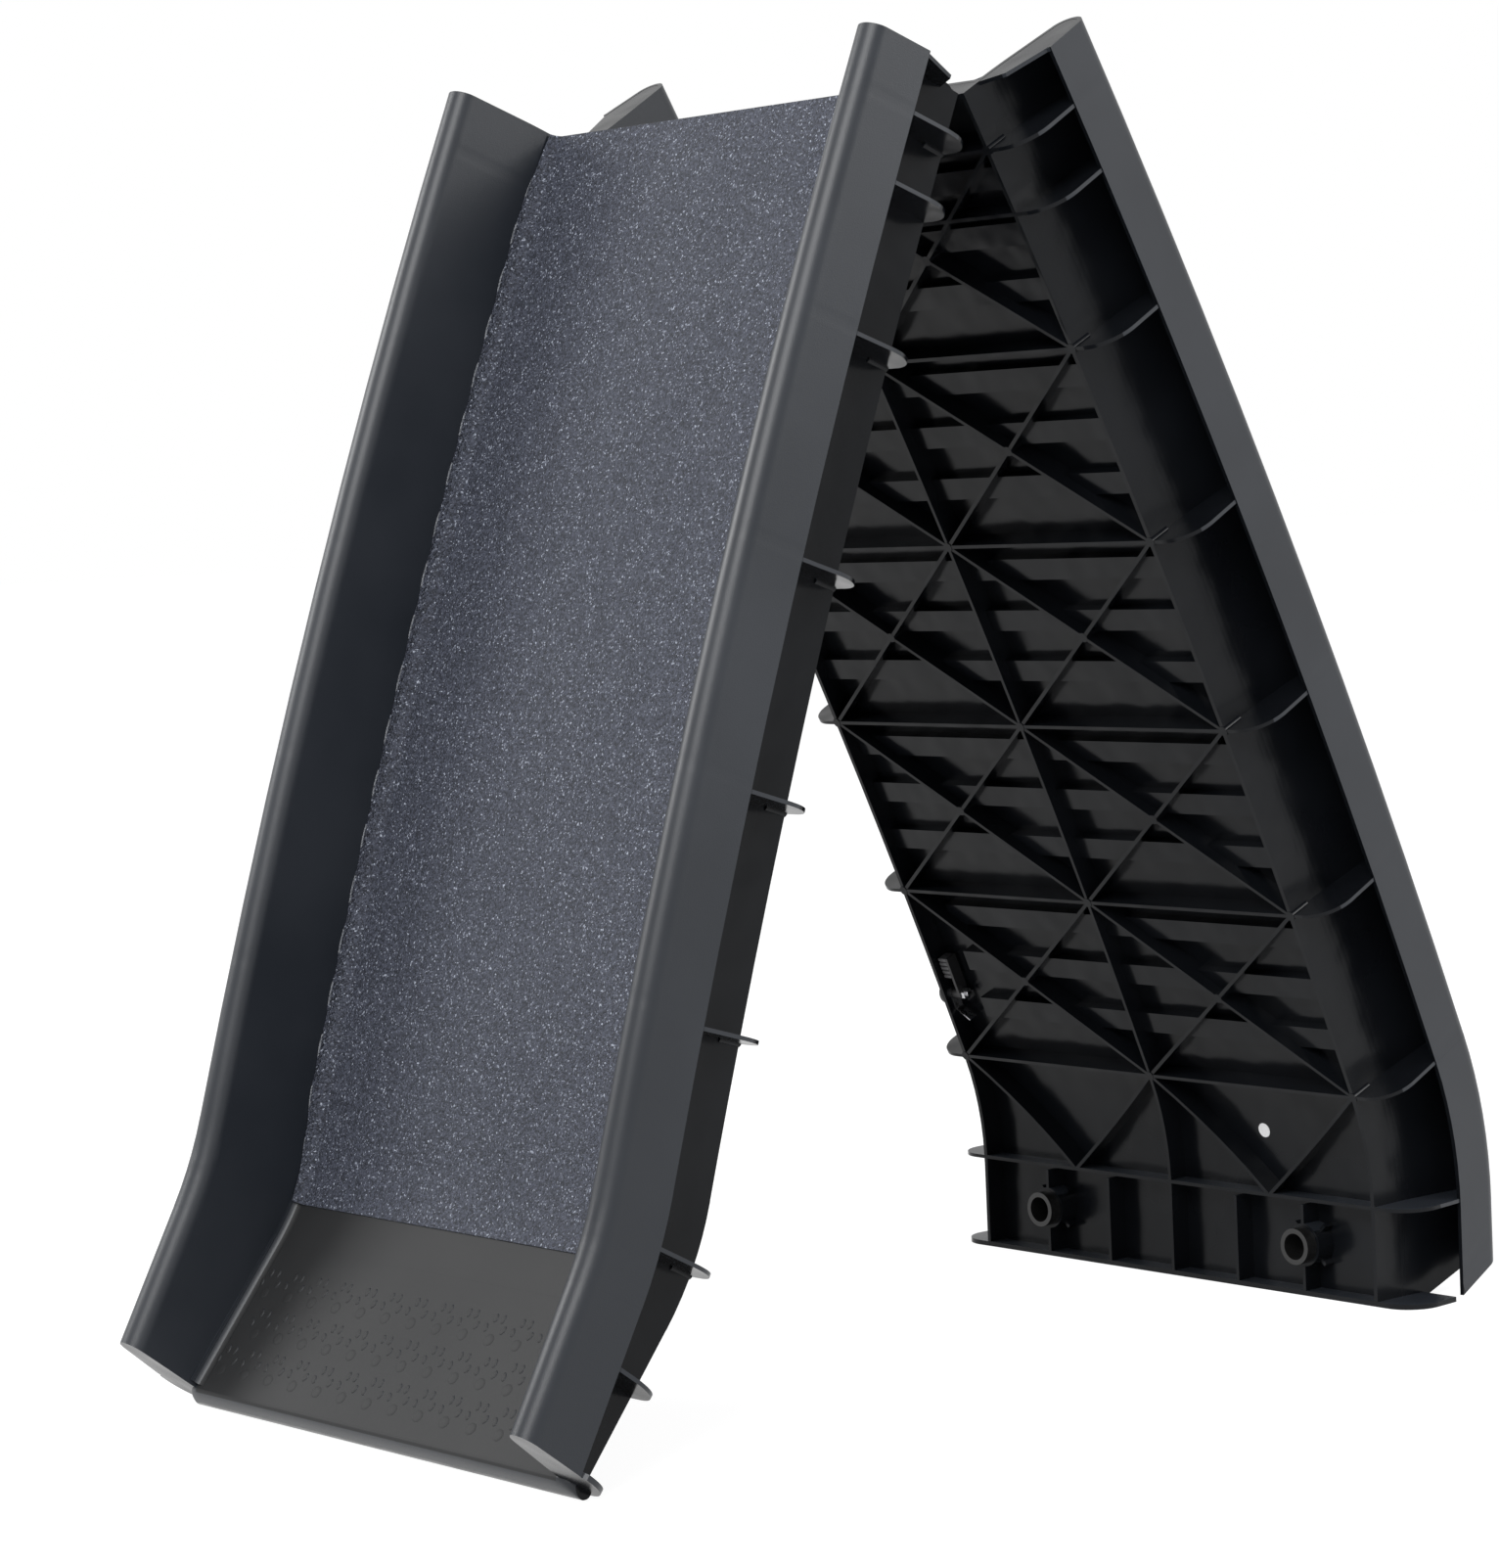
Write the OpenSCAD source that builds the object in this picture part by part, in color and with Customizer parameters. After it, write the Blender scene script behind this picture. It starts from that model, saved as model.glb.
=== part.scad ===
// Folding pet ramp, half opened and standing on its two free ends.
// Two arched ribbed halves with hollow side rails, joined by a knuckle hinge.

/* [Size] */
// Length of the arched stretch of the lower half, hinge line to bend
lower_bow = 607; // [590:1:620]
// Length of the arched stretch of the upper half
upper_bow = 647; // [647:1:655]
// Radius of the long arch at the underside
bow_radius = 5200; // [4000:100:9000]
// Angle by which the end of the lower half bends up
lower_kink = 22.7; // [18:0.1:25]
// Angle by which the end of the upper half bends down
upper_kink = 22.4; // [18:0.1:25]
// Radius of the bend of the lower half at its underside
lower_kink_radius = 177.5; // [165:0.5:200]
// Radius of the bend of the upper half at its underside
upper_kink_radius = 185; // [180:0.5:200]
// Length of the straight end of the lower half
lower_tail = 94.5; // [88:0.5:110]
// Length of the straight end of the upper half
upper_tail = 55.5; // [52:0.5:80]
// Half width of the walking deck between the rails
deck_half = 165.5; // [150:0.5:200]

/* [Deck and ribs] */
// Height of the deck top over the underside
deck_height = 16.5; // [14:0.5:22]
// Deck thickness
deck_wall = 3; // [2:0.5:4]
// Rib thickness
rib_wall = 2.2; // [1.6:0.2:3]
// Distance from the hinge line to the first cross rib
first_rib = 35; // [30:1:40]
// Spacing of the cross ribs
rib_pitch = 122.2; // [118:0.1:122.4]
// Length of the last bay, which lies in the bend
last_bay = 70; // [66:1:72]
// Distance from the first cross rib to the hinge stiffener rib
hinge_rib_step = 39; // [25:1:60]
// Distance between two cross channels of the deck
channel_pitch = 34; // [32:0.1:36]
// Depth by which a channel stands out under the deck
channel_depth = 6.5; // [4:0.1:7.5]
// Outside width of a channel
channel_width = 13.7; // [10:0.1:14]
// Distance from a cross rib to the first channel
channel_start = 12.8; // [8:0.1:13]
// Distance from the latch wall to the channels beside the latch
latch_room = 26; // [24:1:40]
// Radius of the round rib crossings
crossing_radius = 3; // [2:0.1:4]

/* [Side rails] */
// Wall thickness of a side rail
rail_wall = 2.6; // [2:0.1:3.5]
// Height of the rail crown over the underside
rail_height = 85; // [60:1:110]
// Height at which the inner face starts to lean out
lean_start = 30; // [20:1:40]
// Radius of the rounded crown
crown_radius = 10.2; // [8:0.1:11]
// Distance from the deck edge to the middle of the crown
crown_offset = 15.5; // [14:0.1:17]
// Height of the skirt edge over the underside
skirt_height = 47; // [40:1:55]
// Distance from the deck edge to the skirt edge
skirt_offset = 28.8; // [26:0.1:34]
// Distance that the lobes of the cross plates reach beyond the deck edge
lobe_offset = 30.5; // [29:0.5:36]
// Corner radius of the lobes
lobe_radius = 20; // [10:1:22]
// Distance over which the inner face turns to its lean, below and above that height
lean_blend = 12; // [4:1:12]
// How much less the lower rails bend than the lower deck
rail_relief = 10; // [6:1:12]
// Length that the upper rail ends are cut back at the crown
end_cut = 20; // [5:1:30]

// Height over the underside at which the plate in the rail's hinge end starts at the deck
hinge_plate_foot = 12; // [8:0.5:14]
// Height by which that plate's lower edge rises to its corner
hinge_plate_rise = 8; // [4:0.5:10]
// Distance of that corner from the deck edge
hinge_plate_width = 17.5; // [12:0.5:20]

/* [Free ends] */
// Radius of the rounded lip on the lower half
lip_radius = 4.5; // [3:0.5:6]
// Width of the flat worn on the lip where it stands
lip_flat = 0.1; // [0.05:0.05:0.3]
// Sideways position of the feet
foot_offset = 110; // [60:1:130]
// Distance from the tip to the middle of the feet
foot_reach = 31; // [26:1:36]
// Outside radius of a foot
foot_radius = 11; // [8:0.5:13]
// Bore radius of a foot
foot_bore = 8; // [5:0.5:9]
// Height that a foot stands out under the ribs
foot_drop = 8; // [4:0.5:10]
// Wall thickness of the foot socket
socket_wall = 2; // [1.5:0.1:3]

/* [Hinge] */
// Distance of the hinge axis below the underside
hinge_drop = 2; // [1:0.5:4]
// Outside radius of a knuckle
knuckle_radius = 9; // [8:0.1:10]
// Radius of the hinge rod
rod_radius = 3.5; // [3:0.1:4]
// Number of knuckles, lower and upper in turn
knuckles = 10; // [6:2:14]
// Half width of the row of knuckles
knuckle_row = 153; // [120:1:160]
// Radial play of the rod in the upper knuckles
rod_play = 0.05; // [0.02:0.01:0.08]
// Sideways play between two knuckles
knuckle_gap = 0.4; // [0.3:0.1:1]
// Play round a knuckle in the other half
knuckle_play = 0.6; // [0.4:0.1:1.5]
// Distance of each end face from the hinge line
end_play = 0.25; // [0.2:0.05:0.5]

/* [Grip mats] */
// Thickness of the grip mat
mat_thickness = 1; // [0.6:0.1:1.6]
// Distance of the mat edge from the rails
mat_margin = 1; // [0.5:0.5:4]
// Distance of the mat from the hinge end
mat_start = 1; // [0.5:0.5:10]
// Turn of the bend that the lower mat still covers
mat_turn = 14; // [10:1:18]

/* [Latch] */
// Distance of the latch pivot from the hinge line
latch_station = 603; // [590:1:610]
// Height of the latch pivot over the underside
latch_height = 8; // [7:0.5:9]
// Radius of the latch screw
latch_screw_radius = 2; // [1.5:0.1:2.5]
// Radial play of the latch screw in the wall
latch_play = 0.05; // [0.02:0.01:0.1]
// Radius of the latch knob
knob_radius = 7.5; // [6:0.5:8]
// Length of the latch lever from its pivot to its end
latch_reach = 27; // [24:1:36]
// Distance of the lever plate from the wall
latch_stand = 8; // [6:0.5:12]
// Thickness of the lever plate
lever_thickness = 2; // [1.5:0.1:3]
// Half width of the lever and radius of its boss
lever_half = 4; // [3.5:0.1:4]
// Length of the grip block on the lever
grip_length = 14; // [12:1:15]
// Distance of the grip block from the wall
grip_gap = 1.5; // [1:0.1:2.5]
// Length of the spring strip along the wall, from the screw to its bend
strip_length = 11; // [9:0.5:14]
// Thickness of the spring strip and the washer
strip_thickness = 0.8; // [0.5:0.1:1]
// Half width of the spring strip
strip_half = 3; // [2:0.5:3.5]
// Length of the strip past its bend
strip_leg = 12; // [8:0.5:13]
// Angle by which the strip bends in, away from the wall
strip_bend = 50; // [40:1:55]
// Height of the nut
nut_height = 3; // [2:0.1:3.5]
// Corner radius of the nut
nut_radius = 3.8; // [3.2:0.1:4.2]
// Spacing of the grooves across the grip block
groove_pitch = 3; // [2:0.5:4]
// Width of a groove
groove_width = 1; // [0.5:0.1:1.2]
// Depth of a groove
groove_depth = 0.8; // [0.4:0.1:1.5]
// Slip between the fixed and the turning pieces of the latch
latch_slip = 0.2; // [0.1:0.05:0.4]

// Height of the knob's straight rim
knob_rim = 3; // [2:0.5:4]
// Height and width of the knob's slanted edge
knob_slant = 2.5; // [1:0.5:3]
// Length of screw that shows past the nut
screw_past = 2; // [0.5:0.5:3]

/* [Sticker] */
// Radius of the paper sticker under the upper half
sticker_radius = 4.5; // [3:0.5:8]
// Thickness of the sticker
sticker_thickness = 0.2; // [0.1:0.05:0.4]
// Distance of the sticker from the middle
sticker_offset = 73; // [60:1:75]

/* [Hidden] */
seam = 0.06;
cross_proud = 0.1;
brace_proud = 0.2;
node_proud = 0.3;
seam_turn = 0.1;
start_deg = end_play / bow_radius * 180 / PI;
rib_height = deck_height - deck_wall + 0.5;
knuckle_pitch = 2 * knuckle_row / knuckles;
// The bays fill the half up to its end room
end_room = 40;
bays = floor((lower_bow + bend_length(-1) + lower_tail - end_room - first_rib - last_bay) / rib_pitch);
channels = floor((rib_pitch - channel_start) / channel_pitch);
channel_floor = deck_height - deck_wall - channel_depth;
lean_steps = 6;
// Height by which the upper end wall stays under the skirt edge
end_wall_step = 6;
// Depth of a foot's seat, and the rubber left over its bore
seat_depth = deck_height - deck_wall - 2.5;
foot_top = 3;
// Reach of the fins round a foot socket, and their start over the underside
fin = 6;
// Size by which cutting blocks reach past what they cut
overrun = 1;
block = 2 * lobe_offset;
last_rib = first_rib + rib_pitch * bays + last_bay;
// The rails of the lower half bend less than the deck over the same stretch
rail_kink_radius = lower_kink_radius * lower_kink / (lower_kink - rail_relief);

// Middle of the rail crown, as height over the underside and distance from the middle
crown_n = rail_height - crown_radius;
crown_y = deck_half + crown_offset;

function bow_x(s) = bow_radius * sin(s / bow_radius * 180 / PI);
function bow_n(s) = bow_radius * cos(s / bow_radius * 180 / PI) - bow_radius;
function bow_turn(s) = s / bow_radius * 180 / PI;

// Each half in terms of its side: 1 for the upper half, -1 for the lower half
function bow_of(side) = side > 0 ? upper_bow : lower_bow;
function kink_of(side) = side > 0 ? upper_kink : lower_kink;
function radius_of(side) = side > 0 ? upper_kink_radius : lower_kink_radius;
function tail_of(side) = side > 0 ? upper_tail : lower_tail;
function bend_length(side) = radius_of(side) * kink_of(side) * PI / 180;

// Height of the hinge axis over the upper free end, which stands square on the floor
upper_lean = bow_turn(upper_bow) + upper_kink;
upper_tip_x = bow_x(upper_bow) + upper_kink_radius * (sin(upper_lean) - sin(bow_turn(upper_bow)))
    + upper_tail * cos(upper_lean);
upper_tip_n = bow_n(upper_bow) + upper_kink_radius * (cos(upper_lean) - cos(bow_turn(upper_bow)))
    - upper_tail * sin(upper_lean);
hinge_height = upper_tip_x * cos(upper_lean) - (upper_tip_n + hinge_drop) * sin(upper_lean);

// Angle of the lower half at which its lip reaches the same floor
lip_rise = lip_radius - 0.4;
lower_turn = bow_turn(lower_bow);
tail_turn = lower_turn - lower_kink;
lip_x = bow_x(lower_bow) + lower_kink_radius * (sin(lower_turn) - sin(tail_turn)) + lower_tail * cos(tail_turn)
    + lip_rise * sin(tail_turn);
lip_n = bow_n(lower_bow) + lower_kink_radius * (cos(tail_turn) - cos(lower_turn)) * -1
    - lower_tail * sin(tail_turn) + lip_rise * cos(tail_turn) + hinge_drop;
lip_far = sqrt(lip_x * lip_x + lip_n * lip_n);
lower_lean = acos((hinge_height - lip_radius + lip_flat) / lip_far) - atan2(lip_n, lip_x);
hinge_shift = -16.915;

// Latch stack, measured from the middle of the rail wall
latch_wall = rail_wall / 2;
washer_top = -latch_wall - strip_thickness - latch_slip;
lever_base = -latch_wall - latch_stand - lever_thickness;

// Depth by which the screw reaches into the knob's slanted top
screw_in_knob = 1;

// How far the lowered rails of the lower half lie under the deck frame at the last rib and at the tip
last_drop = sin(rail_relief / 2) * bend_length(-1) + sin(rail_relief) * (last_rib - lower_bow - bend_length(-1));
tip_drop = sin(rail_relief / 2) * bend_length(-1) + sin(rail_relief) * lower_tail;

// Places children of the lower half: path along X, height over the underside along Z
module lower_frame() {
    translate([hinge_shift, 0, hinge_height])
        mirror([1, 0, 0])
            rotate([0, 90 - lower_lean, 0])
                translate([0, 0, hinge_drop])
                    children();
}

// Places children of the upper half in the same way
module upper_frame() {
    translate([hinge_shift, 0, hinge_height])
        rotate([0, 90 - upper_lean, 0])
            translate([0, 0, hinge_drop])
                children();
}

// Sweep along an arc that curves down; the profile lies with height along X and width along Y
module arc_down(radius, from, to) {
    translate([0, 0, -radius])
        rotate([-90, -90, 0])
            rotate([0, 0, from])
                rotate_extrude(angle = to - from, $fn = 360)
                    translate([radius, 0])
                        children();
}

// Sweep along an arc that curves up
module arc_up(radius, from, to) {
    mirror([0, 0, 1])
        arc_down(radius, from, to)
            mirror([1, 0])
                children();
}

// Straight sweep of the same profile
module run(length) {
    rotate([0, -90, 0])
        translate([0, 0, -length])
            linear_extrude(length)
                children();
}

module at_bow(s) {
    translate([bow_x(s), 0, bow_n(s)])
        rotate([0, bow_turn(s), 0])
            children();
}

// Point of the bend after the given turn; side 1 bends under the deck, side -1 over it
module at_bend(side, turn) {
    radius = radius_of(side);
    at_bow(bow_of(side))
        translate([radius * sin(turn), 0, side * radius * (cos(turn) - 1)])
            rotate([0, side * turn, 0])
                children();
}

// Start of the straight end stretch
module at_tail(side) {
    at_bend(side, kink_of(side))
        children();
}

// Station along the whole underside
module at_path(side, s) {
    past = s - bow_of(side);
    beyond = past - bend_length(side);
    if (past <= 0) at_bow(s) children();
    if (past > 0 && beyond <= 0) at_bend(side, past / radius_of(side) * 180 / PI) children();
    if (beyond > 0) at_tail(side) translate([beyond, 0, 0]) children();
}

// Sweep of a profile along the long arch
module bow_sweep(side) {
    arc_down(bow_radius, start_deg, bow_turn(bow_of(side))) children();
}

// Sweep of a profile round the bend, reaching a little into both neighbours
module bend_sweep(side) {
    at_bow(bow_of(side)) {
        if (side > 0) arc_down(upper_kink_radius, -seam_turn, upper_kink + seam_turn) children();
        if (side < 0) arc_up(lower_kink_radius, -seam_turn, lower_kink + seam_turn) children();
    }
}

// Sweep of a profile along the straight end
module end_sweep(side) {
    at_tail(side) run(tail_of(side)) children();
}

// Rail section: inner wall, rounded crown and skirt; grow thickens the wall on both faces
module rail_profile(grow, foot) {
    outer_y = deck_half + skirt_offset;
    difference() {
        rail_outline(crown_radius + grow, deck_half - grow, outer_y + grow, foot - grow, skirt_height - grow,
            deck_half + 3 * rail_wall);
        rail_outline(crown_radius - rail_wall - grow, deck_half + rail_wall + grow, outer_y - rail_wall - grow,
            foot - 5, skirt_height - 5, outer_y - rail_wall - grow);
    }
}

// Region under a crown of the given radius, with walls down to the foot and to the skirt
module rail_outline(radius, inner_y, outer_y, foot, skirt, step) {
    touch = radius - seam / 4;
    rise = crown_n - lean_start;
    inner_dir = atan2(crown_y - inner_y, rise) - asin(touch / sqrt(pow(rise, 2) + pow(crown_y - inner_y, 2)));
    fall = crown_n - skirt_height;
    outer_dir = atan2(outer_y - crown_y, fall) - asin(touch / sqrt(pow(fall, 2) + pow(outer_y - crown_y, 2)));
    lean_radius = lean_blend / tan(inner_dir / 2);
    union() {
        polygon(concat(
            [[foot, inner_y]],
            [for (i = [0 : lean_steps])
                [lean_start - lean_blend + lean_radius * sin(inner_dir * i / lean_steps),
                    inner_y + lean_radius * (1 - cos(inner_dir * i / lean_steps))]],
            [
                [crown_n + touch * sin(inner_dir), crown_y - touch * cos(inner_dir)],
                [crown_n + touch * sin(outer_dir), crown_y + touch * cos(outer_dir)],
                [skirt, outer_y + (skirt_height - skirt) * tan(outer_dir)],
                [skirt, step],
                [foot, step]
            ]
        ));
        translate([crown_n, crown_y]) circle(radius, $fn = 64);
    }
}

// Outline of a cross plate in the rail, with its rounded lobe; drop lowers the part inside the rail
module lobe_profile(drop) {
    inside = rail_wall / 2;
    foot = -cross_proud;
    lobe_step = 0.3;
    top_radius = crown_radius - inside;
    difference() {
        polygon(concat(
            [
                [foot, deck_half + 1],
                [lean_start - drop, deck_half + 1]
            ],
            [for (turn = [-90 : 30 : 90])
                [crown_n - drop + top_radius * cos(turn), crown_y + top_radius * sin(turn)]],
            [
                [skirt_height - drop + 1, deck_half + skirt_offset - inside],
                [skirt_height - drop - 1, deck_half + skirt_offset - lobe_step],
                [lobe_radius + 2, deck_half + lobe_offset],
                [foot, deck_half + lobe_offset]
            ]
        ));
        difference() {
            translate([-1, deck_half + lobe_offset - lobe_radius]) square([lobe_radius + 1, lobe_radius + 1]);
            translate([lobe_radius + foot, deck_half + lobe_offset - lobe_radius]) circle(lobe_radius, $fn = 64);
        }
    }
}

// Plate that closes the hinge end of a rail; its lower edge slants from the deck up to the skirt
module hinge_end_profile() {
    intersection() {
        lobe_profile(0);
        polygon([
            [hinge_plate_foot, deck_half],
            [hinge_plate_foot + hinge_plate_rise, deck_half + hinge_plate_width],
            [skirt_height - 1, deck_half + skirt_offset - rail_wall],
            [skirt_height, deck_half + lobe_offset],
            [rail_height, deck_half + lobe_offset],
            [rail_height, deck_half]
        ]);
    }
}

module both_sides() {
    children();
    mirror([0, 1, 0]) children();
}

module rails(side) {
    bow_sweep(side) rail_profile(0, 0);
    if (side > 0) {
        bend_sweep(side) rail_profile(seam, 0);
        difference() {
            end_sweep(side) rail_profile(0, 0);
            at_tail(side)
                translate([upper_tail, deck_half - rail_wall, skirt_height - end_wall_step])
                    rotate([0, atan(-end_cut / (rail_height - skirt_height + end_wall_step)), 0])
                        cube([block, block, rail_height]);
        }
    }
    if (side < 0) {
        rail_turn = lower_kink - rail_relief;
        difference() {
            at_bow(lower_bow) union() {
                arc_up(rail_kink_radius, -seam_turn, rail_turn + seam_turn) rail_profile(seam, 0);
                translate([rail_kink_radius * sin(rail_turn), 0, rail_kink_radius * (1 - cos(rail_turn))])
                    rotate([0, -rail_turn, 0])
                        run(lower_tail + lobe_offset) rail_profile(0, 0);
            }
            lower_clearance();
        }
    }
}

// Everything below the bent deck line and behind the end of the lower half
module lower_clearance() {
    at_bow(lower_bow)
        arc_up(lower_kink_radius, -2 * seam_turn, lower_kink + seam_turn)
            translate([-block, deck_half - rail_wall]) square([block - seam, block]);
    at_tail(-1) {
        translate([0, deck_half - rail_wall, -block]) cube([lower_tail + block, block, block]);
        translate([lower_tail, deck_half - rail_wall, -block]) cube([block, block, 2 * block + rail_height]);
    }
}

module cross_plate(side, s, drop) {
    at_path(side, s)
        translate([-rib_wall / 2, 0, 0])
            run(rib_wall) lobe_profile(drop);
}

// Straight brace between two rib nodes of the arched stretch
module brace(s0, y0, s1, y1) {
    length = sqrt(pow(s1 - s0, 2) + pow(y1 - y0, 2));
    at_bow((s0 + s1) / 2)
        translate([0, (y0 + y1) / 2, -brace_proud])
            rotate([0, 0, atan2(y1 - y0, s1 - s0)])
                translate([-length / 2, -rib_wall / 2, 0])
                    cube([length, rib_wall, rib_height + brace_proud]);
}

module ribs(side) {
    mid_width = deck_half + 1;
    // Long middle rib and the cross ribs
    bow_sweep(side) middle_rib_profile(0);
    bend_sweep(side) middle_rib_profile(seam);
    end_sweep(side) middle_rib_profile(0);
    for (i = [0 : bays]) cross_rib(side, first_rib + i * rib_pitch);
    cross_rib(side, first_rib + hinge_rib_step);
    cross_rib(side, last_rib);
    at_bow(end_play)
        translate([seam, -mid_width, -cross_proud]) cube([deck_wall, 2 * mid_width, rib_height + cross_proud]);
    // Crossed braces of each bay
    for (i = [0 : bays - 1]) {
        near = first_rib + i * rib_pitch;
        far = near + rib_pitch;
        both_sides() {
            at_path(side, near) translate([0, deck_half + rail_wall / 2, -node_proud])
                cylinder(r = crossing_radius, h = rib_height + node_proud, $fn = 32);
            if (far <= bow_of(side)) {
                brace(near, 0, far, mid_width);
                brace(near, mid_width, far, 0);
            }
            if (far > bow_of(side)) {
                bend_brace(side, near, 0, far, mid_width);
                bend_brace(side, near, mid_width, far, 0);
            }
            at_path(side, (near + far) / 2) translate([0, mid_width / 2, -node_proud])
                cylinder(r = crossing_radius, h = rib_height + node_proud, $fn = 32);
        }
        at_path(side, far) translate([0, 0, -node_proud])
            cylinder(r = crossing_radius, h = rib_height + node_proud, $fn = 32);
    }
    // Braces of the last bay and plates of the straight end
    both_sides() {
        at_path(side, last_rib - last_bay) translate([0, deck_half + rail_wall / 2, -node_proud])
            cylinder(r = crossing_radius, h = rib_height + node_proud, $fn = 32);
        bend_brace(side, last_rib - last_bay, 0, last_rib, mid_width / 2);
        bend_brace(side, last_rib - last_bay, mid_width, last_rib, mid_width / 2);
        end_plate(side, foot_offset / 2);
        end_plate(side, foot_offset);
    }
    // Channels across the deck
    deck_channels(side, channel_width, mid_width, channel_floor, rib_height);
}

// Bars across the deck at each channel, of one width and from one height to another; in the bay with the
// latch they stop short of it
module deck_channels(side, width, half_width, from, to) {
    for (i = [0 : bays - 1])
        for (j = [0 : channels - 1]) {
            far_end = side > 0 && i == bays - 1 ? half_width - latch_room : half_width;
            at_path(side, first_rib + i * rib_pitch + channel_start + channel_width / 2 + j * channel_pitch)
                translate([-width / 2, -half_width, from])
                    cube([width, half_width + far_end, to - from]);
        }
}

module cross_rib(side, s) {
    at_path(side, s)
        translate([-rib_wall / 2, -deck_half - 1, -cross_proud])
            cube([rib_wall, 2 * deck_half + 2, rib_height + cross_proud]);
}

// Plate along the straight end, from the last cross rib to the tip
module end_plate(side, y) {
    start = max(0, last_rib - bow_of(side) - bend_length(side));
    at_tail(side)
        translate([start, y - rib_wall / 2, 0]) cube([tail_of(side) - start, rib_wall, rib_height]);
}

module middle_rib_profile(grow) {
    translate([-grow, -rib_wall / 2 - grow]) square([rib_height + 2 * grow, rib_wall + 2 * grow]);
}

module deck_profile(grow) {
    translate([deck_height - deck_wall - grow, -deck_half - 1.4]) square([deck_wall + 2 * grow, 2 * deck_half + 2.8]);
}

// Brace between two rib nodes in a bent stretch, cut to the curved underside
module bend_brace(side, s0, y0, s1, y1) {
    length = sqrt(pow(s1 - s0, 2) + pow(y1 - y0, 2));
    intersection() {
        at_path(side, (s0 + s1) / 2)
            translate([0, (y0 + y1) / 2, -20])
                rotate([0, 0, atan2(y1 - y0, s1 - s0)])
                    translate([-length / 2, -rib_wall / 2, 0])
                        cube([length, rib_wall, 50]);
        union() {
            bow_sweep(side) square([rib_height, deck_half + 1]);
            bend_sweep(side) square([rib_height, deck_half + 1.05]);
            end_sweep(side) square([rib_height, deck_half + 1]);
        }
    }
}

// Knuckles of one half; phase 0 starts at the near end, phase 1 one place further
module knuckle_row_solid(phase, grow, gap) {
    for (i = [phase : 2 : knuckles - 1])
        translate([0, -knuckle_row + i * knuckle_pitch + gap / 2, -hinge_drop])
            rotate([-90, 0, 0])
                cylinder(r = knuckle_radius + grow, h = knuckle_pitch - gap, $fn = 64);
}

module knuckle_webs(phase) {
    for (i = [phase : 2 : knuckles - 1])
        translate([end_play, -knuckle_row + i * knuckle_pitch + knuckle_gap / 2, -hinge_drop])
            cube([knuckle_radius - 1, knuckle_pitch - knuckle_gap, rib_height + hinge_drop]);
}

// Moulded half
module half(side, phase) {
    drop = side < 0 ? 1 : 0;
    difference() {
        union() {
            difference() {
                union() {
                    bow_sweep(side) deck_profile(0);
                    bend_sweep(side) deck_profile(seam);
                    end_sweep(side) deck_profile(0);
                    both_sides() {
                        rails(side);
                        at_bow(end_play) translate([2 * seam, 0, 0]) run(rib_wall) hinge_end_profile();
                        cross_plate(side, first_rib, 0);
                        cross_plate(side, first_rib + hinge_rib_step, 0);
                        for (i = [1 : bays]) cross_plate(side, first_rib + i * rib_pitch, 0);
                        cross_plate(side, last_rib, drop * last_drop);
                    }
                    ribs(side);
                    free_end(side);
                }
                knuckle_row_solid(1 - phase, knuckle_play, -knuckle_gap);
                // Hollow of each channel, open to the deck's top
                deck_channels(side, channel_width - 2 * rib_wall, deck_half - rib_wall, channel_floor + deck_wall,
                    deck_height + overrun);
            }
            knuckle_row_solid(phase, 0, knuckle_gap);
            knuckle_webs(phase);
        }
        // Hinge bore
        translate([0, 0, -hinge_drop]) rotate([90, 0, 0])
            cylinder(r = rod_radius + (phase == 1 ? rod_play : 0), h = 2 * knuckle_row + 2, center = true, $fn = 48);
        // Foot seats
        both_sides() at_tail(side) translate([tail_of(side) - foot_reach, foot_offset, -overrun])
            cylinder(r = foot_radius, h = seat_depth + overrun, $fn = 48);
    }
}

// Closed end wall with rounded lower corners, foot sockets and lip
module free_end(side) {
    drop = side < 0 ? tip_drop : 0;
    at_tail(side) {
        translate([tail_of(side) - deck_wall, 0, 0]) {
            translate([0, -deck_half - 2, 0]) cube([deck_wall, 2 * deck_half + 4, deck_height - 0.5]);
            both_sides() end_lobe(side, drop);
        }
        both_sides() translate([tail_of(side) - foot_reach, foot_offset, 0]) {
            cylinder(r = foot_radius + socket_wall, h = rib_height, $fn = 48);
            for (turn = [45 : 90 : 315])
                rotate([0, 0, turn])
                    translate([foot_radius, -rib_wall / 2, fin]) cube([fin, rib_wall, rib_height - fin]);
        }
        if (side < 0) {
            translate([lower_tail, 0, lip_rise]) rotate([90, 0, 0])
                cylinder(r = lip_radius, h = 2 * deck_half + 20, center = true, $fn = 48);
        }
    }
}

module end_lobe(side, drop) {
    intersection() {
        run(deck_wall) lobe_profile(drop);
        if (side > 0) translate([-overrun, 0, -overrun])
            cube([deck_wall + 2 * overrun, 2 * deck_half, skirt_height - end_wall_step]);
        if (side < 0) translate([-overrun, 0, -overrun])
            cube([deck_wall + 2 * overrun, 2 * deck_half, 2 * rail_height]);
    }
}

module grip_mat(side) {
    half_width = deck_half - mat_margin;
    arc_down(bow_radius, bow_turn(mat_start), bow_turn(bow_of(side)))
        translate([deck_height, -half_width]) square([mat_thickness, 2 * half_width]);
    if (side < 0)
        at_bow(lower_bow)
            arc_up(lower_kink_radius, -seam_turn, mat_turn)
                translate([deck_height + seam, seam - half_width])
                    square([mat_thickness, 2 * half_width - 2 * seam]);
}

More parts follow.
